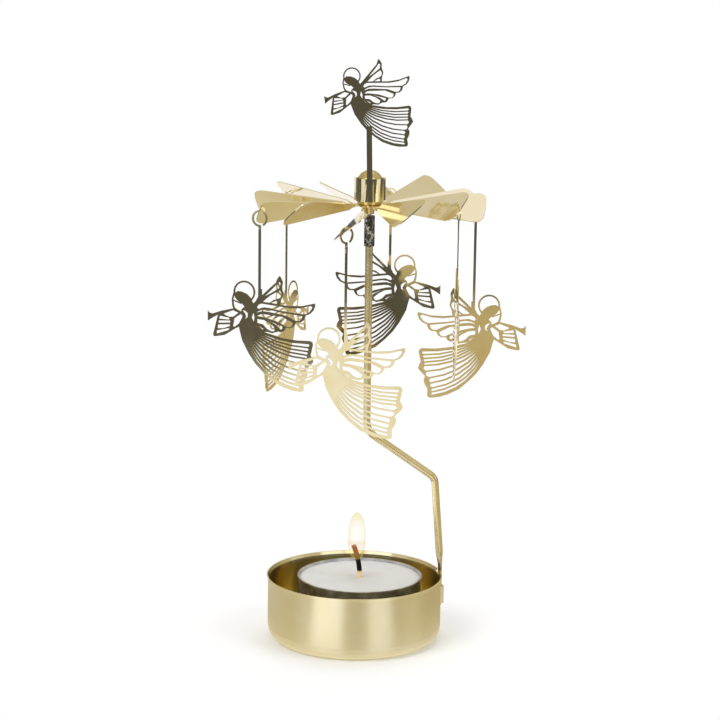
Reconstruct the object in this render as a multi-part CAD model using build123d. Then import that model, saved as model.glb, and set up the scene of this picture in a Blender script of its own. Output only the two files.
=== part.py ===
"""Rotary candle carousel: a tealight in a sheet-metal cup turns a bladed rotor hung with angels."""
import math
import os

from build123d import *

# Lengths in millimetres and angles in degrees
# Origin at the middle of the cup's underside, Z up, the post stands at the cup's +X side

# Tealight
tea_radius = 18.4
tea_height = 18.6
tea_wall = 0.25
tea_corner = 1.5
tea_rim = 0.35
tea_rim_height = 0.35
wax_level = 17.8
wick_radius = 0.75
wick_sides = 6
wick_rise = 10.0
wick_lean = 2.0

# Cup, wider than the tealight by a margin in which the tealight stands off centre
cup_margin = 7.3
tea_shift_share = 0.22
cup_height = 19.2
cup_wall = 0.35
cup_corner = 4.0
lip_height = 0.9
lip_flare = 0.35
cup_radius = tea_radius + cup_margin + cup_wall
tea_shift = cup_margin * tea_shift_share

# Rotor's middle, on which the ferrule, the needle, the cap and the angel on top take their heights
rotor_height = 130.66
mast_offset = 3.1

# Ferrule and pivot needle
ferrule_radius = 1.55
ferrule_drop = 3.0
ferrule_length = 9.2
ferrule_grip = 4.3
ferrule_chamfer = 0.2
needle_radius = 0.45
needle_cone = 3.0
needle_tip = 0.08
needle_gap = 0.05
ferrule_top = rotor_height - ferrule_drop
ferrule_bottom = ferrule_top - ferrule_length

# Post, bent from one round rod
post_radius = 1.12
post_top = ferrule_bottom + ferrule_grip
arm_top = 63.3
arm_bottom = 48.0
arm_inset = 1.65
leg_foot = 25.0
leg_offset = 0.25
upper_bend = 5.5
lower_bend = 4.0
arm_reach = cup_radius - arm_inset
leg_reach = cup_radius + leg_offset

# Flattened end of the post and the strap that holds it
tab_width = 3.4
tab_thickness = 1.0
tab_top = 20.8
tab_end = 8.6
strap_bottom = 9.2
strap_top = 14.5
strap_wall = 0.35
strap_corner = 0.5
strap_root_share = 0.8

# Pivot cap
cap_radius = 3.75
cap_wall = 0.35
cap_height = 10.1
dome_height = 3.4
dome_steps = 4
foot_radius = 3.3
foot_height = 1.0
foot_step = 0.3
nozzle_radius = 1.6
nozzle_end_radius = 1.32
nozzle_wall = 0.35
nozzle_drop = 2.6

# Rotor
sheet = 0.3
blade_count = 12
rotor_phase = 6.9
hub_reach = 5.6
neck_width = 2.8
neck_length = 2.4
blade_reach = 34.0
blade_width = 12.8
blade_corner = 2.6
blade_bow = 0.6
blade_twist = 38.0
# Bent by hand, each blade rises or droops a little
blade_rises = [0, 6, 2.5, 0, 2.5, 0, -3, 0, -7, 2, 4.5, 0.5]

# Hooks in every second blade
hook_radius = 2.45
hook_line = 0.6
hook_edge = 1.6
hook_hole = 0.7
hook_hang = 1.0
hook_turn = -40.0
hook_gap_start_angle = -82.0
hook_gap_end_angle = -62.0
hook_stub = 0.35
twist_length = 2.4
twist_steps = 3

# Hanging angels: from the ring's centre down to the figure, and which way each one faces
hanging_size = 32.6
hanger_width = 0.75
short_hanger = 24.4
long_hanger = 32.0
hanging_tilt_angle = -6.0
hanger_lengths = [long_hanger, short_hanger, long_hanger, short_hanger, long_hanger, short_hanger]
facing_angles = [-20.0, -80.0, -74.0, -35.0, -80.0, -50.0]

# Angel on top and the spring band that grips the cap
top_size = 25.0
top_rise = 25.4
top_facing_angle = 166.9
stem_width = 1.6
stem_place_share = 0.045
band_height = 6.7
band_wrap_angle = 230.0
lean_angle = 1.3
ear_length = 0.8
seat = rotor_height + sheet / 2
cap_top = seat + cap_height
top_height = cap_top + top_rise

# Clearances and the overrun of cuts
fit = 0.05
clip_fit = 0.03
overrun = 1.0

# A pressed corner is drawn in straight runs of about this length
corner_run = 1.0

# Drawing of the angel, as shares of the figure's size: place across, place up, bow of the edge that follows
# A bow is the height of the edge's arc over its own length, to the left of the way it runs
body_shares = [
    (-0.169, -0.238, -0.06), (-0.050, -0.470, -0.04), (0.100, -0.617, -0.065), (0.300, -0.722, -0.05),
    (0.470, -0.738, -0.25), (0.489, -0.700, 0.1), (0.482, -0.650, 0), (0.503, -0.610, -0.15), (0.494, -0.530, 0),
    (0.534, -0.480, -0.25), (0.540, -0.420, 0), (0.521, -0.395, 0.05), (0.532, -0.300, -0.2),
    (0.505, -0.268, 0.03), (0.250, -0.283, 0.03), (0.074, -0.257, 0), (0.036, -0.243, 0.1),
    (-0.003, -0.218, 0.1), (-0.024, -0.170, 0), (-0.028, -0.093, 0), (-0.034, -0.036, 0),
    (-0.057, -0.014, 0), (-0.079, -0.004, 0), (-0.130, -0.055, 0), (-0.158, -0.083, -0.2),
    (-0.130, -0.170, -0.05),
]
hair_shares = [
    (-0.244, 0.045, 0.18), (-0.169, 0.072, 0.14), (-0.057, -0.014, 0), (-0.041, -0.049, 0),
    (-0.079, -0.098, 0), (-0.130, -0.061, -0.1), (-0.163, -0.032, 0.1),
]
face_shares = [
    (-0.250, 0.050, -0.09), (-0.249, -0.061, -0.1), (-0.232, -0.098, 0), (-0.179, -0.121, 0),
    (-0.169, -0.106, 0.05), (-0.220, -0.083, 0.1), (-0.235, -0.049, 0.1), (-0.235, 0.045, 0),
]
brow_shares = [(-0.245, -0.010, 0), (-0.169, -0.027, 0), (-0.163, -0.041, 0), (-0.245, -0.022, 0)]
trumpet_shares = [
    (-0.471, -0.147, -0.15), (-0.424, -0.167, 0), (-0.345, -0.129, 0), (-0.230, -0.088, 0),
    (-0.222, -0.102, 0), (-0.290, -0.124, 0), (-0.332, -0.144, 0), (-0.418, -0.203, 0.05),
    (-0.460, -0.239, 0.02),
]
arm_shares = [
    (-0.345, -0.132, 0), (-0.374, -0.180, 0), (-0.398, -0.350, -0.3), (-0.378, -0.368, -0.05),
    (-0.290, -0.342, -0.04), (-0.200, -0.270, 0), (-0.161, -0.243, -0.12), (-0.122, -0.178, -0.1),
    (-0.133, -0.129, -0.1), (-0.169, -0.102, 0), (-0.230, -0.091, 0),
]
near_wing_shares = [
    (-0.034, -0.019, 0.12), (0.036, 0.010, 0), (0.270, 0.012, -0.05), (0.508, 0.072, 0.3),
    (0.514, 0.052, 0.16), (0.437, -0.048, 0.25), (0.357, -0.122, 0.24), (0.272, -0.185, 0.24),
    (0.198, -0.230, 0.15), (0.100, -0.250, 0), (0.074, -0.257, 0), (0.036, -0.243, 0),
    (-0.003, -0.215, 0.05), (-0.024, -0.170, 0), (-0.031, -0.061, 0),
]
far_wing_shares = [
    (-0.062, -0.024, 0), (0.005, 0.055, 0), (0.090, 0.155, -0.1), (0.153, 0.263, 0.3),
    (0.168, 0.260, 0.15), (0.194, 0.168, 0.15), (0.196, 0.052, 0.08), (0.194, 0.001, 0),
    (0.036, 0.001, 0), (-0.034, -0.036, 0),
]
foot_shares = [
    (-0.010, 0.124, 0), (0.010, 0.124, 0), (0.017, 0.065, 0), (0.043, 0.001, 0),
    (-0.045, -0.019, 0.05), (-0.010, 0.073, 0),
]
sleeve_window_shares = [
    [(-0.320, -0.152, 0.05), (-0.235, -0.107, 0.08), (-0.184, -0.122, 0.1), (-0.228, -0.164, 0.12),
     (-0.300, -0.163, 0.15)],
    [(-0.352, -0.176, 0), (-0.262, -0.181, 0.3), (-0.262, -0.197, 0), (-0.357, -0.203, 0)],
    [(-0.360, -0.220, 0), (-0.253, -0.204, 0.3), (-0.250, -0.222, 0), (-0.358, -0.241, 0)],
    [(-0.360, -0.257, 0), (-0.250, -0.238, 0.3), (-0.252, -0.255, 0), (-0.310, -0.284, 0), (-0.362, -0.292, 0)],
    [(-0.368, -0.312, 0), (-0.252, -0.272, 0.3), (-0.258, -0.292, 0.04), (-0.365, -0.341, 0.15)],
    [(-0.215, -0.178, 0), (-0.160, -0.130, 0.3), (-0.147, -0.165, 0.1), (-0.208, -0.256, 0.3),
     (-0.219, -0.235, 0)],
]
collar_window_shares = [
    [(-0.151, -0.091, 0.12), (-0.097, -0.111, 0.22), (-0.117, -0.170, -0.22), (-0.123, -0.116, 0)],
    [(-0.045, -0.098, 0.1), (-0.032, -0.183, 0.2)],
]
near_feather_shares = [
    [(-0.018, -0.045, 0.15), (0.020, -0.006, 0), (0.280, -0.006, -0.05), (0.472, 0.044, 0.35),
     (0.488, 0.025, 0.12), (0.425, -0.040, 0), (0.240, -0.044, 0), (0.100, -0.034, -0.1), (-0.005, -0.058, 0.3)],
    [(-0.017, -0.092, 0.1), (0.080, -0.050, 0), (0.250, -0.058, 0), (0.408, -0.057, 0.28),
     (0.350, -0.109, 0), (0.260, -0.078, 0), (0.100, -0.070, -0.08)],
    [(-0.008, -0.124, 0.12), (0.060, -0.097, 0.03), (0.230, -0.094, 0.05), (0.328, -0.132, 0.3),
     (0.278, -0.176, 0), (0.160, -0.138, 0), (0.050, -0.124, 0)],
    [(0.085, -0.144, 0.04), (0.235, -0.180, 0.25), (0.225, -0.211, 0.06), (0.165, -0.170, -0.04)],
    [(-0.003, -0.150, 0), (0.060, -0.149, 0.06), (0.176, -0.208, 0.3), (0.130, -0.237, 0.15),
     (0.092, -0.222, 0), (0.055, -0.190, 0), (0.000, -0.184, 0)],
    [(0.012, -0.206, 0.1), (0.066, -0.230, 0.3), (0.055, -0.236, 0)],
]
far_feather_shares = [
    [(0.045, 0.066, 0), (0.110, 0.145, -0.06), (0.160, 0.213, 0.3), (0.175, 0.190, 0.08),
     (0.168, 0.158, 0), (0.100, 0.105, 0)],
    [(0.030, 0.012, 0), (0.100, 0.084, 0.03), (0.178, 0.138, 0.2), (0.188, 0.075, 0.15), (0.170, 0.062, -0.08),
     (0.092, 0.013, 0)],
    [(0.108, 0.014, 0.1), (0.150, 0.038, 0), (0.172, 0.040, 0), (0.174, 0.013, 0)],
]
halo_centre_shares = (-0.149, 0.073)
halo_outer_share = 0.102
halo_inner_share = 0.086

# Pleats of the skirt: points at the waist fan out to the corners at the hem
waist_shares = [(0.074, -0.275), (-0.041, -0.438)]
waist_bow_share = -0.12
hem_shares = [
    (0.496, -0.292), (0.492, -0.330), (0.488, -0.366), (0.487, -0.400), (0.492, -0.431), (0.483, -0.488),
    (0.446, -0.550), (0.449, -0.602), (0.436, -0.650), (0.444, -0.686), (0.446, -0.720),
]
pleat_bow_shares = (-0.045, -0.13)
pleat_end_bow_share = 0.35
pleat_line_share = 0.007

# Bowed edges and rings of the figure are stamped in straight runs, this share of its size off the true curve
run_error_share = 0.003
halo_sides = 20
ring_sides = 20
hole_sides = 10

UP = Vector(0, 0, 1)


def level(azimuth):
    """Level unit vector at an azimuth."""
    return Vector(math.cos(math.radians(azimuth)), math.sin(math.radians(azimuth)), 0)


def turned(outline):
    """Revolves an outline of radius and height about Z."""
    return revolve(Plane.XZ * make_face(Polyline(*outline, close=True)), axis=Axis.Z)


def corner(reach, bottom, radius):
    """Places along a pressed corner, from the floor round to the wall."""
    steps = max(1, round(radius / corner_run))
    turns = [math.pi / 2 * k / steps for k in range(steps + 1)]
    return [(reach - radius + radius * math.sin(t), bottom + radius - radius * math.cos(t)) for t in turns]


def bent(start, stop, share):
    """Place part of the way from one place to another."""
    return start[0] + (stop[0] - start[0]) * share, start[1] + (stop[1] - start[1]) * share


def drawn(rows, size):
    """Closed face of an outline given as shares of the size, with bowed edges."""
    points = []
    for (u, v, bow), (next_u, next_v, _) in zip(rows, rows[1:] + rows[:1]):
        across, along = next_u - u, next_v - v
        runs = max(1, round(math.sqrt(abs(bow) * math.hypot(across, along) / run_error_share)))
        for step in range(runs):
            t = step / runs
            rise = 4 * bow * t * (1 - t)
            points.append(((u + across * t - along * rise) * size, (v + along * t + across * rise) * size))
    return make_face(Polyline(*points, close=True))


def pleat_windows():
    """Outlines of the narrow windows between the skirt's pleats."""
    count = len(hem_shares) - 1
    windows = []
    for k in range(count):
        t = (k + 0.5) / count
        across = waist_shares[1][0] - waist_shares[0][0]
        along = waist_shares[1][1] - waist_shares[0][1]
        rise = 4 * waist_bow_share * t * (1 - t)
        u, v = bent(waist_shares[0], waist_shares[1], t)
        inset = pleat_line_share / math.dist(hem_shares[k], hem_shares[k + 1])
        upper = bent(hem_shares[k], hem_shares[k + 1], inset)
        lower = bent(hem_shares[k + 1], hem_shares[k], inset)
        first = pleat_bow_shares[0] + (pleat_bow_shares[1] - pleat_bow_shares[0]) * k / count
        second = pleat_bow_shares[0] + (pleat_bow_shares[1] - pleat_bow_shares[0]) * (k + 1) / count
        windows.append([(u - along * rise, v + across * rise, first), (*upper, pleat_end_bow_share), (*lower, -second)])
    return windows


def angel(size):
    """Flat pierced figure of the trumpeting angel, its wing root at the origin."""
    solid = [body_shares, hair_shares, arm_shares, near_wing_shares, far_wing_shares]
    lines = [face_shares, brow_shares, trumpet_shares]
    windows = sleeve_window_shares + collar_window_shares + near_feather_shares + far_feather_shares
    figure = Sketch() + [drawn(rows, size) for rows in solid]
    figure -= [drawn(rows, size) for rows in windows + pleat_windows()]
    halo = RegularPolygon(halo_outer_share * size, halo_sides)
    halo -= RegularPolygon(halo_inner_share * size, halo_sides)
    centre_u, centre_v = halo_centre_shares
    return figure + [drawn(rows, size) for rows in lines] + Pos(centre_u * size, centre_v * size) * halo


def make_cup():
    """Drawn cup with a flared lip, a lanced strap and a notch in the lip for the post."""
    wall_top = cup_height - lip_height
    outside = turned([
        (0, 0), *corner(cup_radius, 0, cup_corner), (cup_radius, wall_top),
        (cup_radius + lip_flare, cup_height), (0, cup_height)])
    bore = cup_radius - cup_wall
    inside = turned([
        (0, cup_wall), *corner(bore, cup_wall, cup_corner - cup_wall), (bore, wall_top),
        (bore + lip_flare, cup_height), (bore + lip_flare, cup_height + overrun), (0, cup_height + overrun)])
    loop_width = tab_width + 2 * fit
    loop_depth = tab_thickness + 2 * fit
    window = Pos(bore - overrun, -loop_width / 2, strap_bottom) * Box(
        cup_wall + 2 * overrun, loop_width, strap_top - strap_bottom, align=Align.MIN)
    notch = Pos(bore - overrun, -loop_width / 2, wall_top) * Box(
        cup_wall + lip_flare + 2 * overrun, loop_width, lip_height + overrun, align=Align.MIN)
    root = cup_radius - cup_wall * strap_root_share
    outer_depth = cup_radius + loop_depth + strap_wall - root
    outer_width = loop_width + 2 * strap_wall
    arch = Pos(root + outer_depth / 2, 0) * Rectangle(outer_depth, outer_width)
    corners = arch.vertices().sort_by(Axis.X)[-2:]
    arch = fillet(corners, strap_corner)
    hollow_depth = cup_radius + loop_depth - root + overrun
    arch -= Pos(cup_radius + loop_depth - hollow_depth / 2, 0) * Rectangle(hollow_depth, loop_width)
    strap = Pos(0, 0, strap_bottom) * extrude(arch, amount=strap_top - strap_bottom)
    return outside - inside - window - notch + strap


def make_post():
    """Rod that rises at the cup's side, leans in over the flame and stands up as the mast."""
    path = FilletPolyline(
        (mast_offset, 0, post_top), (mast_offset, 0, arm_top), (arm_reach, 0, arm_bottom), (leg_reach, 0, leg_foot),
        radius=[upper_bend, lower_bend])
    rod = sweep(Plane(origin=path @ 0, z_dir=path % 0) * Circle(post_radius), path=path)
    tab_place = cup_radius + fit + tab_thickness / 2
    leg_end = Plane(origin=path @ 1, x_dir=(0, 1, 0), z_dir=path % 1) * Circle(post_radius)
    flat = Plane(origin=(tab_place, 0, tab_top), x_dir=(0, 1, 0), z_dir=(0, 0, -1)) * Ellipse(
        tab_width / 2, tab_thickness / 2)
    return rod + loft([leg_end, flat]) + extrude(flat, amount=tab_top - tab_end)


def make_ferrule():
    """Sleeve that joins the mast to the needle."""
    chamfer_radius = ferrule_radius - ferrule_chamfer
    sleeve = turned([
        (post_radius, ferrule_bottom), (chamfer_radius, ferrule_bottom),
        (ferrule_radius, ferrule_bottom + ferrule_chamfer), (ferrule_radius, ferrule_top - ferrule_chamfer),
        (chamfer_radius, ferrule_top), (needle_radius, ferrule_top), (needle_radius, post_top),
        (post_radius, post_top)])
    return Pos(mast_offset, 0, 0) * sleeve


def make_needle():
    """Pointed pin on which the cap turns."""
    tip = cap_top - cap_wall - needle_gap
    pin = turned([
        (0, post_top), (needle_radius, post_top), (needle_radius, tip - needle_cone), (needle_tip, tip), (0, tip)])
    return Pos(mast_offset, 0, 0) * pin


def make_cap():
    """Thimble with a cone inside for the needle's point, a pressed foot and a nozzle through the rotor."""
    dome = cap_top - dome_height
    inner = cap_radius - cap_wall
    nozzle_end = rotor_height - nozzle_drop
    turns = [math.pi / 2 * k / dome_steps for k in range(dome_steps)]
    outside = turned([
        (0, seat), (foot_radius, seat), (cap_radius - foot_step / 2, seat + foot_step),
        (cap_radius, seat + foot_height),
        *[(cap_radius * math.cos(t), dome + dome_height * math.sin(t)) for t in turns], (0, cap_top)])
    inside = turned([
        (0, seat + cap_wall), (foot_radius - cap_wall, seat + cap_wall), (inner, seat + foot_height), (inner, dome),
        (0, cap_top - cap_wall)])
    nozzle = turned([(0, nozzle_end), (nozzle_end_radius, nozzle_end), (nozzle_radius, seat), (0, seat)])
    bore = turned([
        (0, nozzle_end - overrun), (nozzle_end_radius - nozzle_wall, nozzle_end - overrun),
        (nozzle_end_radius - nozzle_wall, seat + cap_wall + overrun), (0, seat + cap_wall + overrun)])
    return Pos(mast_offset, 0, 0) * (outside + nozzle - inside - bore)


def blade_plane(k):
    """Plane of one blade's own outline: its origin at the neck's end, X outwards, Y across."""
    azimuth = rotor_phase + 360 * k / blade_count
    rise, twist = math.radians(blade_rises[k]), math.radians(blade_twist)
    radial, side = level(azimuth), level(azimuth + 90)
    out = radial * math.cos(rise) + UP * math.sin(rise)
    lift = UP * math.cos(rise) - radial * math.sin(rise)
    chord = side * math.cos(twist) + lift * math.sin(twist)
    start = Vector(mast_offset, 0, rotor_height) + radial * hub_reach + out * neck_length
    return Plane(origin=start, x_dir=out, z_dir=out.cross(chord))


def blade_length():
    """Length of a blade's flat part."""
    return blade_reach - hub_reach - neck_length


def make_blade(k):
    """One blade with its twisted neck, pierced where an angel hangs."""
    length = blade_length()
    plane = blade_plane(k)
    half_root, half_tip = neck_width / 2, blade_width / 2
    outline = make_face([
        Line((0, -half_root), (length - blade_bow, -half_tip)),
        ThreePointArc((length - blade_bow, -half_tip), (length, 0), (length - blade_bow, half_tip)),
        Line((length - blade_bow, half_tip), (0, half_root)), Line((0, half_root), (0, -half_root))])
    outline = fillet(outline.vertices().sort_by(Axis.X)[-2:], blade_corner)
    if k % 2 == 0:
        outline -= Pos(length - hook_edge, 0) * RegularPolygon(hook_hole, hole_sides, major_radius=False)
    azimuth = rotor_phase + 360 * k / blade_count
    radial, side = level(azimuth), level(azimuth + 90)
    start = Vector(mast_offset, 0, rotor_height) + radial * hub_reach
    inner_end = Plane(origin=start, x_dir=side, z_dir=radial)
    outer_end = Plane(origin=plane.origin, x_dir=plane.y_dir, z_dir=plane.x_dir)
    neck = loft([end * Rectangle(neck_width, sheet) for end in (inner_end, outer_end)], ruled=True)
    return extrude(plane * outline, amount=sheet / 2, both=True) + neck


def make_rotor():
    """Star of twelve twisted blades on a flat hub."""
    hub = extrude(
        RegularPolygon(hub_reach, blade_count, major_radius=False, rotation=180 / blade_count) - Circle(nozzle_radius),
        amount=sheet / 2, both=True)
    hub = Pos(mast_offset, 0, rotor_height) * Rot(0, 0, rotor_phase) * hub
    return hub + [make_blade(k) for k in range(blade_count)]


def hook_centre(k):
    """Centre of the ring that hangs in blade k's hole, lifted to rest under the web."""
    plane = blade_plane(k)
    outward = level(rotor_phase + 360 * k / blade_count + hook_turn)
    along = plane.z_dir.cross(outward.cross(UP)).normalized()
    if along.dot(outward) < 0:
        along = along * -1
    over = along.cross(outward.cross(UP)).normalized()
    if over.Z < 0:
        over = over * -1
    mean = hook_radius - hook_line / 2
    reach = math.sqrt(mean ** 2 - hook_hang ** 2)
    hole = plane.origin + plane.x_dir * (blade_length() - hook_edge)
    return hole + along * reach - over * hook_hang


def blank_plane(origin, trumpet_way):
    """Upright plane for a flat blank whose trumpet points the given way."""
    right = level(trumpet_way) * -1
    return Plane(origin=origin, x_dir=right, z_dir=right.cross(UP))


def make_hanging_angel(j):
    """Hanging angel: an open ring, a strip twisted to face its own way, and the pierced figure."""
    k = 2 * j
    azimuth = rotor_phase + 360 * k / blade_count
    centre = hook_centre(k)
    inner = hook_radius - hook_line
    stub_end = hook_radius + hook_stub
    gap = make_face(Polyline((0, 0), *[
        (2 * hook_radius * math.cos(math.radians(a)), 2 * hook_radius * math.sin(math.radians(a)))
        for a in (hook_gap_start_angle, hook_gap_end_angle)], close=True))
    ring = RegularPolygon(hook_radius, ring_sides) - RegularPolygon(inner, ring_sides) - gap
    ring += Pos(0, -(inner + hook_line / 2 + stub_end) / 2) * Rectangle(
        hanger_width, stub_end - inner - hook_line / 2)
    ring = extrude(blank_plane(centre, azimuth + hook_turn) * ring, amount=sheet / 2, both=True)
    sections = []
    for step in range(twist_steps + 1):
        share = step / twist_steps
        way = level(azimuth + hook_turn + (facing_angles[j] - hook_turn) * share)
        place = centre - UP * (stub_end + twist_length * share)
        sections.append(Plane(origin=place, x_dir=way, z_dir=UP * -1) * Rectangle(hanger_width, sheet))
    link = loft(sections, ruled=True)
    strip_top, strip_end = stub_end + twist_length, hanger_lengths[j]
    figure = angel(hanging_size) + drawn(foot_shares, hanging_size)
    figure = Pos(0, -hanger_lengths[j]) * Rot(0, 0, hanging_tilt_angle) * figure
    figure += Pos(0, -(strip_top + strip_end) / 2) * Rectangle(hanger_width, strip_end - strip_top)
    figure = extrude(blank_plane(centre, azimuth + facing_angles[j]) * figure, amount=sheet / 2, both=True)
    return ring + link + figure


def make_top_angel():
    """Angel on a stem whose foot is rolled into a spring band round the cap."""
    inner = cap_radius + clip_fit
    outer = inner + sheet
    band_bottom = seat + foot_height + fit
    axis = Vector(mast_offset, 0, 0)
    front = level(top_facing_angle + 90)
    opening = make_face(Polyline((0, 0), *[
        (2 * outer * math.cos(math.radians(a)), 2 * outer * math.sin(math.radians(a)))
        for a in (band_wrap_angle / 2, 180, -band_wrap_angle / 2)], close=True))
    band = Circle(outer) - Circle(inner) - opening
    ear = Pos(inner + (sheet + ear_length) / 2, -sheet / 2) * Rectangle(sheet + ear_length, sheet)
    band += Rot(0, 0, band_wrap_angle / 2) * ear
    band += Rot(0, 0, -band_wrap_angle / 2) * (Pos(0, sheet) * ear)
    band = Plane(origin=axis + UP * band_bottom, x_dir=front) * band
    band = extrude(band, amount=band_height)
    stem_top = top_height - top_size / 2
    stem_place = stem_place_share * top_size
    stem_middle = (band_bottom + stem_top) / 2 - top_height
    stem = Pos(stem_place, stem_middle) * Rectangle(stem_width, stem_top - band_bottom)
    figure = Pos(-stem_place, 0) * (angel(top_size) + stem)
    foot = Pos(0, band_bottom - top_height)
    figure = foot * Rot(0, 0, lean_angle) * foot.inverse() * figure
    origin = axis + front * (inner + sheet / 2) + UP * top_height
    return band + extrude(blank_plane(origin, top_facing_angle) * figure, amount=sheet / 2, both=True)


def make_tealight_shell():
    """Thin aluminium cup of the tealight, with a small rolled rim."""
    bore = tea_radius - tea_wall
    rim = tea_height - tea_rim_height
    outside = turned([
        (0, 0), *corner(tea_radius, 0, tea_corner), (tea_radius, rim), (tea_radius + tea_rim, rim),
        (tea_radius + tea_rim, tea_height), (0, tea_height)])
    inside = turned([
        (0, tea_wall), *corner(bore, tea_wall, tea_corner - tea_wall), (bore, tea_height + overrun),
        (0, tea_height + overrun)])
    return Pos(tea_shift, 0, cup_wall) * (outside - inside)


def make_wax():
    """Wax that fills the tealight round the wick."""
    bore = tea_radius - tea_wall
    wax = turned([
        (0, tea_wall), *corner(bore, tea_wall, tea_corner - tea_wall), (bore, wax_level), (0, wax_level)])
    hole = Pos(0, 0, tea_wall) * Cylinder(
        wick_radius, wax_level + overrun, align=(Align.CENTER, Align.CENTER, Align.MIN))
    return Pos(tea_shift, 0, cup_wall) * (wax - hole)


def make_wick():
    """Wick through the wax that curls over above it."""
    straight = Line((0, 0, tea_wall), (0, 0, wax_level))
    curl = TangentArc((0, 0, wax_level), (-wick_lean, 0, wax_level + wick_rise), tangent=(0, 0, 1))
    path = Wire([straight, curl])
    wick = sweep(Plane(origin=(0, 0, tea_wall)) * RegularPolygon(wick_radius, wick_sides), path=path)
    return Pos(tea_shift, 0, cup_wall) * wick


parts = {
    "cup": make_cup(),
    "post": make_post(),
    "ferrule": make_ferrule(),
    "pivot_needle": make_needle(),
    "tealight_shell": make_tealight_shell(),
    "tealight_wax": make_wax(),
    "tealight_wick": make_wick(),
    "rotor": make_rotor(),
    "pivot_cap": make_cap(),
    "top_angel": make_top_angel(),
}
for j in range(len(hanger_lengths)):
    parts["hanging_angel_%d" % (j + 1)] = make_hanging_angel(j)

os.makedirs("parts", exist_ok=True)
for name, shape in parts.items():
    export_step(shape, "parts/%s.step" % name)
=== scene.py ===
"""Looks of the candle carousel: finishes, flame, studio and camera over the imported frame."""
import math

import bmesh
import bpy
from mathutils import Matrix, Vector


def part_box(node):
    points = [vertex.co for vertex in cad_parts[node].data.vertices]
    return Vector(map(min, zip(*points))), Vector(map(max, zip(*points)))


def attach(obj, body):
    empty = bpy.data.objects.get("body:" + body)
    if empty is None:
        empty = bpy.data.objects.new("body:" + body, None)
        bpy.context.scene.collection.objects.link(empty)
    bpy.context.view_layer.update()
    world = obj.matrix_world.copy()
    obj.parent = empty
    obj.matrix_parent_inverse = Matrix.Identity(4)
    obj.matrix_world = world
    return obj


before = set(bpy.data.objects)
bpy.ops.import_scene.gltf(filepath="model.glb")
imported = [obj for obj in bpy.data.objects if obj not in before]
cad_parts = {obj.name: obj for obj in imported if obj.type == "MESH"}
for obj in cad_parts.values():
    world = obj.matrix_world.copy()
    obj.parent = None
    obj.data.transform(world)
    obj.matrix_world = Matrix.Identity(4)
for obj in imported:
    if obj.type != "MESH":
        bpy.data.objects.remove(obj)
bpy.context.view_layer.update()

# Lengths in metres and angles in degrees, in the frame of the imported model
mm = 0.001

# Camera, fitted to the photograph
camera_distance = 600 * mm
camera_height = 195.3 * mm
camera_side = 0.78 * mm
camera_azimuth = -13.11
camera_pitch = 10.44
camera_roll = 0.78
camera_focal = 2064.8
camera_clip = 30 * mm
image_width = 720
sensor_width = 36.0

# Floor, lit at the object's foot and pure white to the camera beyond
floor_radius = 660 * mm
floor_sides = 96
floor_lit_radius = 22.5 * mm
floor_white_radius = 90 * mm
floor_colour = (0.86, 0.86, 0.86)
floor_roughness = 0.9

# In reflections the floor is tan near the object and to the right, white in front and dark beyond a far edge
floor_foot = (0.95, 0.90, 0.74)
floor_near = (0.62, 0.54, 0.31)
floor_tan = (0.59, 0.51, 0.33)
floor_dark = (0.12, 0.12, 0.115)
floor_near_radii = (30 * mm, 50 * mm, 125 * mm)
side_offset = 25 * mm
side_blur = 8 * mm
edge_azimuth = -70.0
edge_distance = 372 * mm
edge_blur = 12 * mm

# Bright sectors of the near floor, each a direction from the camera's azimuth, half an angle and a strength
floor_sectors = ((-27.5, 16.0, 1.75), (27.0, 12.0, 1.45))
sector_blur = 3.0

# Room that only glossy surfaces see, with the heights where its tones change as shares of its radius
room_radius = 2500 * mm
room_height = 100 * mm
room_low_shares = (0.02, 0.12)
room_top_shares = (0.3, 0.9)
room_low_colour = (0.12, 0.12, 0.115)
room_colour = (0.59, 0.52, 0.32)
room_top_colour = (0.76, 0.72, 0.60)
room_sides = 48
room_rings = 24

# Cards in the room: direction from the camera's azimuth, height angle, width, height, colour and strength
card_distance = 900 * mm
card_white = (1.0, 0.99, 0.95)
card_green = (0.97, 1.0, 0.90)
card_dark = (0.10, 0.10, 0.095)
cards = {
    "left light card": (-58, 2, 600 * mm, 200 * mm, card_white, 1.0),
    "right light card": (80, 2, 500 * mm, 200 * mm, card_white, 1.0),
    "left high card": (-34, 19, 600 * mm, 400 * mm, card_white, 1.7),
    "right high card": (33, 19, 480 * mm, 400 * mm, card_green, 1.5),
    "top light card": (150, 72, 700 * mm, 500 * mm, card_white, 1.0),
    "dark card": (2, 3, 220 * mm, 300 * mm, card_dark, 1.0),
}

# Lamps: direction from the camera's azimuth, height angle and power
lamp_distance = 1200 * mm
lamp_size = 700 * mm
lamps = {"key lamp": (-45, 45, 7.0), "fill lamp": (60, 35, 4.0), "top lamp": (160, 75, 6.0)}
world_grey = 0.55

# Flame, over the wick
flame_bottom = 23.6 * mm
flame_top = 38.4 * mm
flame_radius = 2.6 * mm
flame_place = (0.6 * mm, 0.0)
flame_rings = 28
flame_sides = 32
# How low its belly sits, how full it is and how round its ends are
flame_belly = (0.85, 2.6, 0.55)
# Where it turns from clear to full, under and over the wick's top, and how long its tip is
flame_rise = (0.5 * mm, 2.2 * mm)
flame_tip_length = 5 * mm
# How much it covers low down, at its edges and higher up, and how much its tip fades
flame_foot_cover = 0.1
flame_edge_cover = 0.28
flame_full_cover = 0.9
flame_tip_fade = 0.25
flame_edge_blend = 0.2
flame_tip_share = 0.8
# Strength of its mirror image in the cup and the blades
flame_mirrored = 3.0

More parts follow.
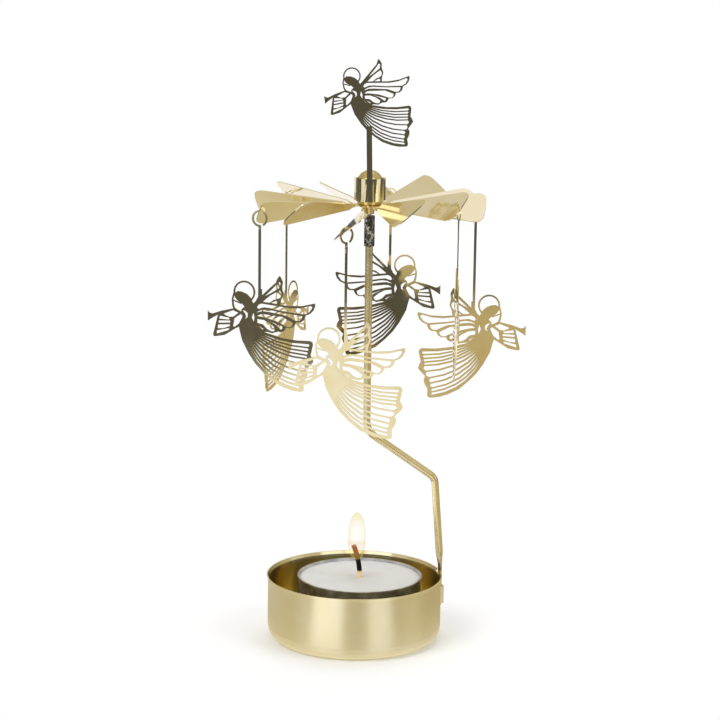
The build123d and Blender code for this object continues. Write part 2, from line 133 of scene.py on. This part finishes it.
# Clouds and hair scratches of handled metal
cloud_levels = (0.35, 0.68)
cloud_detail = 3.0
cloud_grain = 0.55
cloud_relief_share = 0.4
scratch_levels = (0.6, 0.72)
scratch_detail = 2.0
scratch_grain = 0.6
scratch_scale = 900.0
scratch_turn = (0.4, 0.9, 0.6)
scratch_stretch = (1.0, 0.05, 0.3)

# Brass: roughness where it is clean and how much its clouds add, for each piece
cup_gloss = (0.42, 0.04)
post_gloss = (0.26, 0.06)
blade_gloss = (0.05, 0.04)
cap_gloss = (0.03, 0.03)
figure_gloss = (0.05, 0.04)
brass_cloud_scale = 120.0
blade_cloud_scale = 60.0
brass_scratches = 0.06
scratch_roughness = 0.2
# Each relief is a depth and a strength
brass_relief = (0.004 * mm, 0.3)

# The sheet of the angel at the back leans and is a little warped, both as slopes
back_lean = 0.06
back_warp = 0.12
warp_scale = 60.0

# Inside of the cup, polished, and its painted shade, a darker tone that starts and is full so far under the
# lip
cup_inside_gloss = 0.24
cup_inside_edge = 0.1
cup_shade_starts = 1.2 * mm
cup_shade_full = 2.2 * mm
# Its brushing draws reflections out into upright streaks
cup_brushing = 0.92
cup_brushing_turn = 0.25

# Mottled nickel of the ferrule
ferrule_cloud_scale = 1050.0
ferrule_scratches = 0.5
ferrule_spot_levels = (0.4, 0.95)
ferrule_gloss = (0.12, 0.3)
ferrule_relief = (0.25 * mm, 0.9)

# Plain metal of the needle and the tealight's foil
needle_roughness = 0.25
foil_roughness = 0.32
metal_smudge = 0.12
metal_cloud_scale = 260.0
metal_scratches = 0.3
metal_relief = (0.06 * mm, 0.4)

# Wax, melted within the first radius of the wick and solid beyond the second
wax_melt_radii = (3 * mm, 9 * mm)
wax_cloud_scale = 180.0
wax_cloud_share = 0.5
wax_melt_share = 0.35
wax_roughness = 0.5
wax_melt_gloss = 0.2
wax_relief = (0.15 * mm, 0.3)
wax_depth_weight = 0.25
wax_depth_tint = (1.0, 0.8, 0.6)
wax_depth = 2 * mm

# Wick: how far under its top the char, the brown part painted with the flame's light and the ember start and
# are full
wick_char = (8.7 * mm, 7.9 * mm)
wick_lit_brown = (5.4 * mm, 3.0 * mm)
wick_ember = (3.2 * mm, 2.0 * mm)
wick_speck_scale = 1400.0
wick_braid = {"Scale": 900.0, "Distortion": 1.5, "Detail": 1.0}
wick_roughness = 0.7
wick_braid_roughness = 0.2
wick_shine = 0.2
# Strength of the ember's glow and of the painted light on the wick
wick_ember_and_painted_light = 0.5
wick_relief = (0.15 * mm, 0.8)

# Colours as they look under white light, red, green and blue of 255, in pairs where clouds mix two tones;
# those marked as painted stand in for light or shade instead
brass_tones = ((238, 226, 188), (232, 217, 170))
blade_tones = ((241, 232, 209), (237, 225, 194))
# Painted shade: the cap's brass is darker than the rest, for the dark surroundings it mirrors
cap_shaded_tones = ((216, 197, 146), (203, 181, 124))
cup_tones = ((244, 236, 208), (240, 229, 194))
# Painted shade of the cup's inside: a darker brass for the dark things it mirrors there
cup_painted_shade = (226, 208, 140)
nickel_tones = ((214, 210, 200), (122, 119, 110))
steel_tones = ((190, 190, 190), (150, 150, 150))
foil_tones = ((216, 216, 218), (180, 180, 184))
wax_tones = ((208, 207, 206), (199, 198, 198))
char = (12, 10, 8)
cotton = (228, 198, 152)
# Painted light of the flame on the wick's cotton foot and on its brown part within the flame
foot_painted_light = (172, 132, 92)
brown_painted_light = (150, 116, 50)
ember = (232, 60, 30)
flame_core = (255, 254, 248)
flame_edge = (240, 220, 140)
flame_foot = (236, 198, 112)
flame_tip = (243, 233, 184)

# Plain colours of light
full_light = (1.0, 1.0, 1.0, 1.0)
no_light = (0.0, 0.0, 0.0, 1.0)

# Kinds of group sockets
VALUE = "NodeSocketFloat"
VECTOR = "NodeSocketVector"


def linear(colour):
    """Scene-linear colour of a screen colour given in 255ths, with alpha."""
    parts = [c / 255 for c in colour]
    return tuple(p / 12.92 if p <= 0.04045 else ((p + 0.055) / 1.055) ** 2.4 for p in parts) + (1.0,)


def opaque(colour):
    """Scene-linear colour with full alpha."""
    return (*colour, 1.0)


def from_camera(azimuth, elevation=0.0):
    """Direction given from the camera's own azimuth."""
    turn = math.radians(camera_azimuth - 90 + azimuth)
    rise = math.radians(elevation)
    return Vector((math.cos(turn) * math.cos(rise), math.sin(turn) * math.cos(rise), math.sin(rise)))


def feed(tree, value, socket):
    """Links an output to an input, or sets the input to a plain value."""
    if isinstance(value, bpy.types.NodeSocket):
        tree.links.new(value, socket)
    else:
        socket.default_value = value


def put(tree, kind, inputs=None, **settings):
    """Adds a node with its settings and feeds its inputs."""
    node = tree.nodes.new(kind)
    for key, value in settings.items():
        setattr(node, key, value)
    for key, value in (inputs or {}).items():
        feed(tree, value, node.inputs[key])
    return node


def maths(tree, operation, first, second=0.0, third=0.0, clamp=False):
    """Output of a Math node."""
    inputs = {0: first, 1: second, 2: third}
    return put(tree, "ShaderNodeMath", inputs, operation=operation, use_clamp=clamp).outputs[0]


def vector_maths(tree, operation, first, second=(0.0, 0.0, 0.0)):
    """Output of a Vector Math node: a value for a length or a dot product, else a vector."""
    node = put(tree, "ShaderNodeVectorMath", {0: first, 1: second}, operation=operation)
    return node.outputs["Value" if operation in ("LENGTH", "DOT_PRODUCT") else "Vector"]


def mixed(tree, share, first, second):
    """Output of a colour mix."""
    return put(tree, "ShaderNodeMix", {0: share, 6: first, 7: second}, data_type="RGBA").outputs[2]


def ramp(tree, value, low, high):
    """Smooth step of a value from 0 at one level to 1 at another."""
    inputs = {"Value": value, "From Min": low, "From Max": high}
    return put(tree, "ShaderNodeMapRange", inputs, interpolation_type="SMOOTHSTEP").outputs[0]


def height_of(tree, place):
    """Height of a place."""
    return put(tree, "ShaderNodeSeparateXYZ", {0: place}).outputs[2]


def new_group(name, inputs, outputs):
    """Empty shader group with sockets: each input is (name, kind, default), each output (name, kind)."""
    tree = bpy.data.node_groups.new(name, "ShaderNodeTree")
    for label, kind, default in inputs:
        socket = tree.interface.new_socket(label, in_out="INPUT", socket_type=kind)
        if default is not None:
            socket.default_value = default
    for label, kind in outputs:
        tree.interface.new_socket(label, in_out="OUTPUT", socket_type=kind)
    return tree, tree.nodes.new("NodeGroupInput").outputs, tree.nodes.new("NodeGroupOutput").inputs


def make_handled_group():
    """Cloudy tone and gloss of handled sheet metal, with hair scratches."""
    tree, given, result = new_group(
        "handled metal",
        [("Vector", VECTOR, None), ("Cloud Scale", VALUE, brass_cloud_scale),
         ("Scratch Scale", VALUE, scratch_scale), ("Scratch Amount", VALUE, metal_scratches)],
        [("Cloud", VALUE), ("Scratch", VALUE), ("Height", VALUE)])
    cloud = put(tree, "ShaderNodeTexNoise", {
        "Vector": given["Vector"], "Scale": given["Cloud Scale"],
        "Detail": cloud_detail, "Roughness": cloud_grain}).outputs[0]
    feed(tree, ramp(tree, cloud, *cloud_levels), result["Cloud"])
    turned = put(tree, "ShaderNodeMapping", {
        "Vector": given["Vector"], "Rotation": scratch_turn, "Scale": scratch_stretch}).outputs[0]
    lines = put(tree, "ShaderNodeTexNoise", {
        "Vector": turned, "Scale": given["Scratch Scale"],
        "Detail": scratch_detail, "Roughness": scratch_grain}).outputs[0]
    scratch = maths(tree, "MULTIPLY", ramp(tree, lines, *scratch_levels), given["Scratch Amount"])
    feed(tree, scratch, result["Scratch"])
    swell = maths(tree, "MULTIPLY", cloud, cloud_relief_share)
    feed(tree, maths(tree, "MULTIPLY_ADD", scratch, -1.0, swell), result["Height"])
    return tree


def make_level_group():
    """Mask that rises from 0 to 1 along Z between two heights."""
    tree, given, result = new_group(
        "level mask",
        [("Vector", VECTOR, None), ("Low", VALUE, 0.0), ("High", VALUE, 1.0)],
        [("Mask", VALUE)])
    feed(tree, ramp(tree, height_of(tree, given["Vector"]), given["Low"], given["High"]), result["Mask"])
    return tree


def make_round_group():
    """Distance from an upright axis, and how far a surface faces away from it."""
    tree, given, result = new_group(
        "round mask",
        [("Vector", VECTOR, None), ("Normal", VECTOR, None), ("Centre X", VALUE, 0.0)],
        [("Radius", VALUE), ("Outward", VALUE)])
    place = put(tree, "ShaderNodeSeparateXYZ", {0: given["Vector"]}).outputs
    x = maths(tree, "SUBTRACT", place[0], given["Centre X"])
    flat = put(tree, "ShaderNodeCombineXYZ", {0: x, 1: place[1]}).outputs[0]
    radial = vector_maths(tree, "NORMALIZE", flat)
    feed(tree, vector_maths(tree, "LENGTH", flat), result["Radius"])
    feed(tree, vector_maths(tree, "DOT_PRODUCT", radial, given["Normal"]), result["Outward"])
    return tree


handled_group = make_handled_group()
level_group = make_level_group()
round_group = make_round_group()


def use(tree, group, inputs):
    """Places a group in a material and returns its outputs."""
    return put(tree, "ShaderNodeGroup", inputs, node_tree=group).outputs


def handled(tree, place, cloud_scale, scratches=0.0):
    """Clouds, scratches and height of handled metal."""
    return use(tree, handled_group, {
        "Vector": place, "Cloud Scale": cloud_scale, "Scratch Amount": scratches})


def level(tree, place, low, high):
    """Mask that rises from 0 at one height to 1 at another."""
    return use(tree, level_group, {"Vector": place, "Low": low, "High": high})["Mask"]


def blank_material(name):
    """Material with an empty tree of nodes."""
    material = bpy.data.materials.new(name)
    material.use_nodes = True
    material.node_tree.nodes.clear()
    return material, material.node_tree


def new_material(name):
    """Material with its Principled shader; returns material, tree, shader inputs and object coordinates."""
    material, tree = blank_material(name)
    shader = put(tree, "ShaderNodeBsdfPrincipled")
    put(tree, "ShaderNodeOutputMaterial", {"Surface": shader.outputs[0]})
    place = put(tree, "ShaderNodeTexCoord").outputs["Object"]
    return material, tree, shader.inputs, place


def add_relief(tree, shader, height, relief):
    """Faint relief of a surface; returns the Bump node."""
    depth, strength = relief
    bump = put(tree, "ShaderNodeBump", {"Strength": strength, "Distance": depth, "Height": height})
    feed(tree, bump.outputs[0], shader["Normal"])
    return bump


def make_brass(name, tones, gloss, cloud_scale=brass_cloud_scale):
    """Brass sheet or wire; returns material, tree, shader inputs, object coordinates and the Bump node."""
    material, tree, shader, place = new_material(name)
    light, warm = tones
    clean, smudge = gloss
    marks = handled(tree, place, cloud_scale, brass_scratches)
    feed(tree, mixed(tree, marks["Cloud"], linear(warm), linear(light)), shader["Base Color"])
    rough = maths(tree, "MULTIPLY_ADD", marks["Cloud"], smudge, clean)
    rough = maths(tree, "MULTIPLY_ADD", marks["Scratch"], scratch_roughness, rough)
    feed(tree, rough, shader["Roughness"])
    feed(tree, 1.0, shader["Metallic"])
    bump = add_relief(tree, shader, marks["Height"], brass_relief)
    return material, tree, shader, place, bump


def make_leaning_brass():
    """Brass of a hung figure whose sheet leans back and is a little warped."""
    material, tree, shader, place, bump = make_brass("leaning figure brass", brass_tones, figure_gloss)
    warp = handled(tree, place, warp_scale)["Cloud"]
    lift = maths(tree, "MULTIPLY_ADD", warp, back_warp, back_lean)
    up = put(tree, "ShaderNodeCombineXYZ", {2: lift}).outputs[0]
    normal = put(tree, "ShaderNodeNewGeometry").outputs["Normal"]
    tilted = vector_maths(tree, "NORMALIZE", vector_maths(tree, "ADD", normal, up))
    feed(tree, tilted, bump.inputs["Normal"])
    return material


def make_cup_brass():
    """Satin outside with upright streaks of light, polished inside with a painted shade below the lip."""
    material, tree, shader, place, bump = make_brass("cup satin brass", cup_tones, cup_gloss)
    rough = shader["Roughness"].links[0].from_socket
    tone = shader["Base Color"].links[0].from_socket
    normal = put(tree, "ShaderNodeNewGeometry").outputs["Normal"]
    outward = use(tree, round_group, {"Vector": place, "Normal": normal})["Outward"]
    inside = ramp(tree, outward, cup_inside_edge, -cup_inside_edge)
    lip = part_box("cup")[1].z
    # Painted shade: the inside turns darker from a little under the lip down
    inside_shade = maths(tree, "MULTIPLY", inside, level(tree, place, lip - cup_shade_starts, lip - cup_shade_full))
    feed(tree, mixed(tree, inside_shade, tone, linear(cup_painted_shade)), shader["Base Color"])
    rough = put(tree, "ShaderNodeMix", {0: inside, 2: rough, 3: cup_inside_gloss}).outputs[0]
    feed(tree, rough, shader["Roughness"])
    feed(tree, cup_brushing, shader["Anisotropic"])
    feed(tree, cup_brushing_turn, shader["Anisotropic Rotation"])
    tangent = put(tree, "ShaderNodeTangent", direction_type="RADIAL", axis="Z").outputs[0]
    feed(tree, tangent, shader["Tangent"])
    return material


def make_ferrule_metal():
    """Dark nickel, mottled with pale spots."""
    material, tree, shader, place = new_material("mottled nickel")
    light, dark = nickel_tones
    clean, spotted = ferrule_gloss
    marks = handled(tree, place, ferrule_cloud_scale, ferrule_scratches)
    spots = ramp(tree, marks["Cloud"], *ferrule_spot_levels)
    feed(tree, mixed(tree, spots, linear(dark), linear(light)), shader["Base Color"])
    feed(tree, maths(tree, "MULTIPLY_ADD", spots, spotted, clean), shader["Roughness"])
    feed(tree, 1.0, shader["Metallic"])
    add_relief(tree, shader, marks["Height"], ferrule_relief)
    return material


def make_plain_metal(name, tones, clean):
    """Plain bright metal with a little cloudiness."""
    material, tree, shader, place = new_material(name)
    light, dark = tones
    marks = handled(tree, place, metal_cloud_scale, metal_scratches)
    feed(tree, mixed(tree, marks["Cloud"], linear(dark), linear(light)), shader["Base Color"])
    feed(tree, maths(tree, "MULTIPLY_ADD", marks["Cloud"], metal_smudge, clean), shader["Roughness"])
    feed(tree, 1.0, shader["Metallic"])
    add_relief(tree, shader, marks["Height"], metal_relief)
    return material


def make_wax():
    """White wax, greyer and glossier where it has melted round the wick."""
    material, tree, shader, place = new_material("candle wax")
    white, grey = (linear(tone) for tone in wax_tones)
    middle = sum(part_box("tealight_wax"), Vector()) / 2
    radius = use(tree, round_group, {"Vector": place, "Centre X": middle.x})["Radius"]
    molten, solid = wax_melt_radii
    melt = ramp(tree, radius, solid, molten)
    marks = handled(tree, place, wax_cloud_scale)
    tone = mixed(tree, maths(tree, "MULTIPLY", marks["Cloud"], wax_cloud_share), white, grey)
    tone = mixed(tree, maths(tree, "MULTIPLY", melt, wax_melt_share), tone, grey)
    feed(tree, tone, shader["Base Color"])
    feed(tree, maths(tree, "MULTIPLY_ADD", melt, -wax_melt_gloss, wax_roughness), shader["Roughness"])
    feed(tree, wax_depth_weight, shader["Subsurface Weight"])
    feed(tree, wax_depth_tint, shader["Subsurface Radius"])
    feed(tree, wax_depth, shader["Subsurface Scale"])
    add_relief(tree, shader, marks["Height"], wax_relief)
    return material


def make_wick():
    """Cotton charred black, with an ember near its tip, and painted light of the flame on its foot and on
    its brown part in the flame.
    """
    material, tree, shader, place = new_material("charred wick")
    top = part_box("tealight_wick")[1].z
    charred, lit_by_flame, glowing = (
        level(tree, place, top - low, top - high) for low, high in (wick_char, wick_lit_brown, wick_ember))
    specks = handled(tree, place, wick_speck_scale)["Cloud"]
    braid = put(
        tree, "ShaderNodeTexWave", {"Vector": place, **wick_braid}, bands_direction="DIAGONAL").outputs[1]
    feed(tree, mixed(tree, charred, linear(cotton), linear(char)), shader["Base Color"])
    feed(tree, maths(tree, "MULTIPLY_ADD", braid, wick_braid_roughness, wick_roughness), shader["Roughness"])
    # Painted light: the flame's light on the cotton foot and the brown part; the ember glows of itself
    light = mixed(tree, charred, linear(foot_painted_light), no_light)
    light = mixed(tree, lit_by_flame, light, linear(brown_painted_light))
    light = mixed(tree, maths(tree, "MULTIPLY", glowing, specks), light, linear(ember))
    feed(tree, light, shader["Emission Color"])
    feed(tree, wick_ember_and_painted_light, shader["Emission Strength"])
    feed(tree, wick_shine, shader["Specular IOR Level"])
    add_relief(tree, shader, braid, wick_relief)
    return material


def make_flame_glow():
    """Pale yellow light, clear at the wick and warmer at its edges."""
    material, tree, shader, place = new_material("flame glow")
    wick_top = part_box("tealight_wick")[1].z
    under, over = flame_rise
    rise = level(tree, place, wick_top - under, wick_top + over)
    tip = level(tree, place, flame_top - flame_tip_length, flame_top)
    edge = put(tree, "ShaderNodeLayerWeight", {"Blend": flame_edge_blend}).outputs["Facing"]
    glow = mixed(tree, edge, linear(flame_core), linear(flame_edge))
    glow = mixed(tree, rise, linear(flame_foot), glow)
    glow = mixed(tree, maths(tree, "MULTIPLY", tip, flame_tip_share), glow, linear(flame_tip))
    feed(tree, glow, shader["Emission Color"])
    mirrored = put(tree, "ShaderNodeLightPath").outputs["Is Glossy Ray"]
    feed(tree, maths(tree, "MULTIPLY_ADD", mirrored, flame_mirrored - 1, 1.0), shader["Emission Strength"])
    feed(tree, no_light, shader["Base Color"])
    feed(tree, 1.0, shader["Roughness"])
    feed(tree, 0.0, shader["Specular IOR Level"])
    cover = maths(tree, "MULTIPLY_ADD", edge, flame_edge_cover, flame_foot_cover)
    cover = maths(tree, "MULTIPLY_ADD", rise, flame_full_cover, cover, clamp=True)
    feed(tree, maths(tree, "MULTIPLY_ADD", tip, -flame_tip_fade, cover), shader["Alpha"])
    return material


def finish_node(name, material):
    """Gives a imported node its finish."""
    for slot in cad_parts[name].material_slots:
        slot.material = material


def dress_nodes():
    """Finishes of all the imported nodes."""
    finish_node("cup", make_cup_brass())
    finish_node("post", make_brass("post brass", brass_tones, post_gloss)[0])
    finish_node("rotor", make_brass("blade brass", blade_tones, blade_gloss, blade_cloud_scale)[0])
    # The cap gets the darker brass, a painted shade
    finish_node("pivot_cap", make_brass("cap brass", cap_shaded_tones, cap_gloss)[0])
    figure = make_brass("figure brass", brass_tones, figure_gloss)[0]
    finish_node("top_angel", figure)
    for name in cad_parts:
        if name.startswith("hanging_angel"):
            finish_node(name, figure)
    finish_node("hanging_angel_2", make_leaning_brass())
    finish_node("ferrule", make_ferrule_metal())
    finish_node("pivot_needle", make_plain_metal("needle steel", steel_tones, needle_roughness))
    finish_node("tealight_shell", make_plain_metal("tealight foil", foil_tones, foil_roughness))
    finish_node("tealight_wax", make_wax())
    finish_node("tealight_wick", make_wick())


def add_object(name, data):
    """Object of a mesh, a lamp or a camera in the scene."""
    piece = bpy.data.objects.new(name, data)
    bpy.context.scene.collection.objects.link(piece)
    return piece


def mesh_object(name, verts, faces, material):
    """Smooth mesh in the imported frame."""
    mesh = bpy.data.meshes.new(name)
    mesh.from_pydata(verts, [], faces)
    mesh.materials.append(material)
    mesh.validate()
    for face in mesh.polygons:
        face.use_smooth = True
    return add_object(name, mesh)


def ring_of_places(radius, height, sides, centre=(0.0, 0.0)):
    """Places round an upright axis."""
    turns = [2 * math.pi * k / sides for k in range(sides)]
    return [(centre[0] + radius * math.cos(t), centre[1] + radius * math.sin(t), height) for t in turns]


def lathe(name, outline, sides, material, centre):
    """Turned piece about an upright axis, from places of radius and height whose ends lie on the axis."""
    verts = []
    for radius, height in outline[1:-1]:
        verts += ring_of_places(radius, height, sides, centre)
    last = len(verts) - sides
    start, end = len(verts), len(verts) + 1
    verts += [(*centre, outline[0][1]), (*centre, outline[-1][1])]
    faces = []
    for near in range(0, last, sides):
        far = near + sides
        for k in range(sides):
            after = (k + 1) % sides
            faces.append((near + k, near + after, far + after, far + k))
    for k in range(sides):
        after = (k + 1) % sides
        faces.append((start, after, k))
        faces.append((end, last + k, last + after))
    return mesh_object(name, verts, faces, material)


def make_flame():
    """Teardrop of light over the wick."""
    low_set, fullness, roundness = flame_belly
    outline = []
    for k in range(flame_rings + 1):
        t = k / flame_rings
        belly = (1 - abs(2 * t ** low_set - 1) ** fullness) ** roundness
        outline.append((flame_radius * belly, flame_bottom + (flame_top - flame_bottom) * t))
    flame = lathe("flame", outline, flame_sides, make_flame_glow(), flame_place)
    flame.visible_shadow = False
    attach(flame, "tealight")


def along(tree, place, azimuth):
    """Distance of a place in a direction given from the camera's azimuth."""
    return vector_maths(tree, "DOT_PRODUCT", place, from_camera(azimuth))


def mirrored_floor(tree, place, distance):
    """Tones of the floor in reflections."""
    tan = opaque(floor_near)
    for azimuth, half, strength in floor_sectors:
        share = maths(tree, "DIVIDE", along(tree, place, azimuth), distance)
        low, high = (math.cos(math.radians(half + turn)) for turn in (sector_blur, -sector_blur))
        tan = mixed(tree, ramp(tree, share, low, high), tan, opaque((strength, strength, strength)))
    beside = ramp(tree, along(tree, place, 90), side_offset - side_blur, side_offset + side_blur)
    beyond = along(tree, place, edge_azimuth)
    beyond = ramp(tree, beyond, edge_distance - edge_blur, edge_distance + edge_blur)
    foot, near, far = floor_near_radii
    colour = mixed(tree, beside, full_light, opaque(floor_tan))
    colour = mixed(tree, ramp(tree, distance, near, far), tan, colour)
    colour = mixed(tree, ramp(tree, distance, foot, near), opaque(floor_foot), colour)
    return mixed(tree, beyond, colour, opaque(floor_dark))


def make_floor_material():
    """Pale floor that keeps the shadow near the object and is plain white to the camera beyond."""
    material, tree = blank_material("studio floor")
    place = put(tree, "ShaderNodeTexCoord").outputs["Object"]
    lit = put(tree, "ShaderNodeBsdfPrincipled", {
        "Base Color": opaque(floor_colour), "Roughness": floor_roughness, "Specular IOR Level": 0.0})
    path = put(tree, "ShaderNodeLightPath").outputs
    mirrored = maths(tree, "MAXIMUM", path["Is Glossy Ray"], path["Is Transmission Ray"])
    distance = vector_maths(tree, "LENGTH", place)
    colour = mixed(tree, mirrored, full_light, mirrored_floor(tree, place, distance))
    plain = put(tree, "ShaderNodeEmission", {"Color": colour, "Strength": 1.0})
    seen = ramp(tree, distance, floor_lit_radius, floor_white_radius)
    seen = maths(tree, "MULTIPLY", seen, path["Is Camera Ray"])
    seen = maths(tree, "MAXIMUM", mirrored, seen)
    cover = put(tree, "ShaderNodeMixShader", {0: seen, 1: lit.outputs[0], 2: plain.outputs[0]})
    put(tree, "ShaderNodeOutputMaterial", {"Surface": cover.outputs[0]})
    return material


def make_floor():
    """Round floor."""
    verts = [(0.0, 0.0, 0.0)] + ring_of_places(floor_radius, 0.0, floor_sides)
    faces = [(0, k + 1, (k + 1) % floor_sides + 1) for k in range(floor_sides)]
    mesh_object("floor", verts, faces, make_floor_material())


def glossy_only(piece):
    """Shown only in reflections."""
    piece.visible_camera = False
    piece.visible_diffuse = False
    piece.visible_transmission = False
    piece.visible_volume_scatter = False
    piece.visible_shadow = False


def new_glow(name, strength):
    """Material of plain light; returns material, tree and the input for its colour."""
    material, tree = blank_material(name)
    light = put(tree, "ShaderNodeEmission", {"Strength": strength})
    put(tree, "ShaderNodeOutputMaterial", {"Surface": light.outputs[0]})
    return material, tree, light.inputs["Color"]


def make_card(name, azimuth, elevation, width, height, colour, strength):
    """Card that faces the object from a direction given from the camera's azimuth."""
    away = from_camera(azimuth, elevation)
    across = from_camera(azimuth + 90) * width / 2
    up = across.normalized().cross(away) * height / 2
    middle = away * card_distance + Vector((0.0, 0.0, room_height))
    verts = [middle + across * x + up * y for x, y in ((-1, -1), (1, -1), (1, 1), (-1, 1))]
    material, tree, glow = new_glow(name, strength)
    feed(tree, opaque(colour), glow)
    glossy_only(mesh_object(name, verts, [(0, 1, 2, 3)], material))


def make_room_material():
    """Tones of the room: dark low down, warm above."""
    material, tree, glow = new_glow("studio room", 1.0)
    height = height_of(tree, put(tree, "ShaderNodeTexCoord").outputs["Object"])
    low, top = (
        ramp(tree, height, *(share * room_radius for share in shares))
        for shares in (room_low_shares, room_top_shares))
    colour = mixed(tree, low, opaque(room_low_colour), opaque(room_colour))
    feed(tree, mixed(tree, top, colour, opaque(room_top_colour)), glow)
    return material


def make_room():
    """Dome that glossy surfaces see beyond the floor."""
    ball = bmesh.new()
    bmesh.ops.create_uvsphere(ball, u_segments=room_sides, v_segments=room_rings, radius=room_radius)
    mesh = bpy.data.meshes.new("room")
    ball.to_mesh(mesh)
    ball.free()
    mesh.materials.append(make_room_material())
    room = add_object("room", mesh)
    room.location = (0.0, 0.0, room_height)
    glossy_only(room)


def make_lamp(name, azimuth, elevation, power):
    """Soft square lamp that doesn't show in reflections."""
    data = bpy.data.lights.new(name, "AREA")
    data.size = lamp_size
    data.energy = power
    lamp = add_object(name, data)
    away = from_camera(azimuth, elevation)
    lamp.location = away * lamp_distance + Vector((0.0, 0.0, room_height))
    lamp.rotation_mode = "QUATERNION"
    lamp.rotation_quaternion = away.to_track_quat("Z", "Y")
    lamp.visible_glossy = False


def make_world():
    """White to the camera and to glossy and clear surfaces, grey as a light."""
    world = bpy.data.worlds.new("studio")
    world.use_nodes = True
    tree = world.node_tree
    tree.nodes.clear()
    path = put(tree, "ShaderNodeLightPath").outputs
    seen = maths(tree, "MAXIMUM", path["Is Camera Ray"], path["Is Glossy Ray"])
    seen = maths(tree, "MAXIMUM", seen, path["Is Transmission Ray"])
    strength = maths(tree, "MULTIPLY_ADD", seen, 1.0 - world_grey, world_grey)
    sky = put(tree, "ShaderNodeBackground", {"Color": full_light, "Strength": strength})
    put(tree, "ShaderNodeOutputWorld", {"Surface": sky.outputs[0]})
    bpy.context.scene.world = world


def make_camera():
    """Camera at the photograph's angle."""
    azimuth, pitch, roll = (math.radians(a) for a in (camera_azimuth, camera_pitch, camera_roll))
    level_right = Vector((math.cos(azimuth), math.sin(azimuth), 0.0))
    level_ahead = Vector((-math.sin(azimuth), math.cos(azimuth), 0.0))
    ahead = level_ahead * math.cos(pitch) - Vector((0.0, 0.0, math.sin(pitch)))
    up = level_right.cross(ahead)
    right = level_right * math.cos(roll) + up * math.sin(roll)
    up = up * math.cos(roll) - level_right * math.sin(roll)
    place = level_right * camera_side - level_ahead * camera_distance + Vector((0.0, 0.0, camera_height))
    data = bpy.data.cameras.new("camera")
    data.sensor_width = sensor_width
    data.lens = camera_focal / image_width * sensor_width
    data.clip_start = camera_clip
    camera = add_object("camera", data)
    turn = Matrix((right, up, -ahead)).transposed()
    camera.matrix_world = Matrix.Translation(place) @ turn.to_4x4()
    bpy.context.scene.camera = camera


dress_nodes()
make_flame()
make_floor()
make_room()
for name, facts in cards.items():
    make_card(name, *facts)
for name, facts in lamps.items():
    make_lamp(name, *facts)
make_world()
make_camera()

bpy.context.scene.view_settings.view_transform = "Standard"
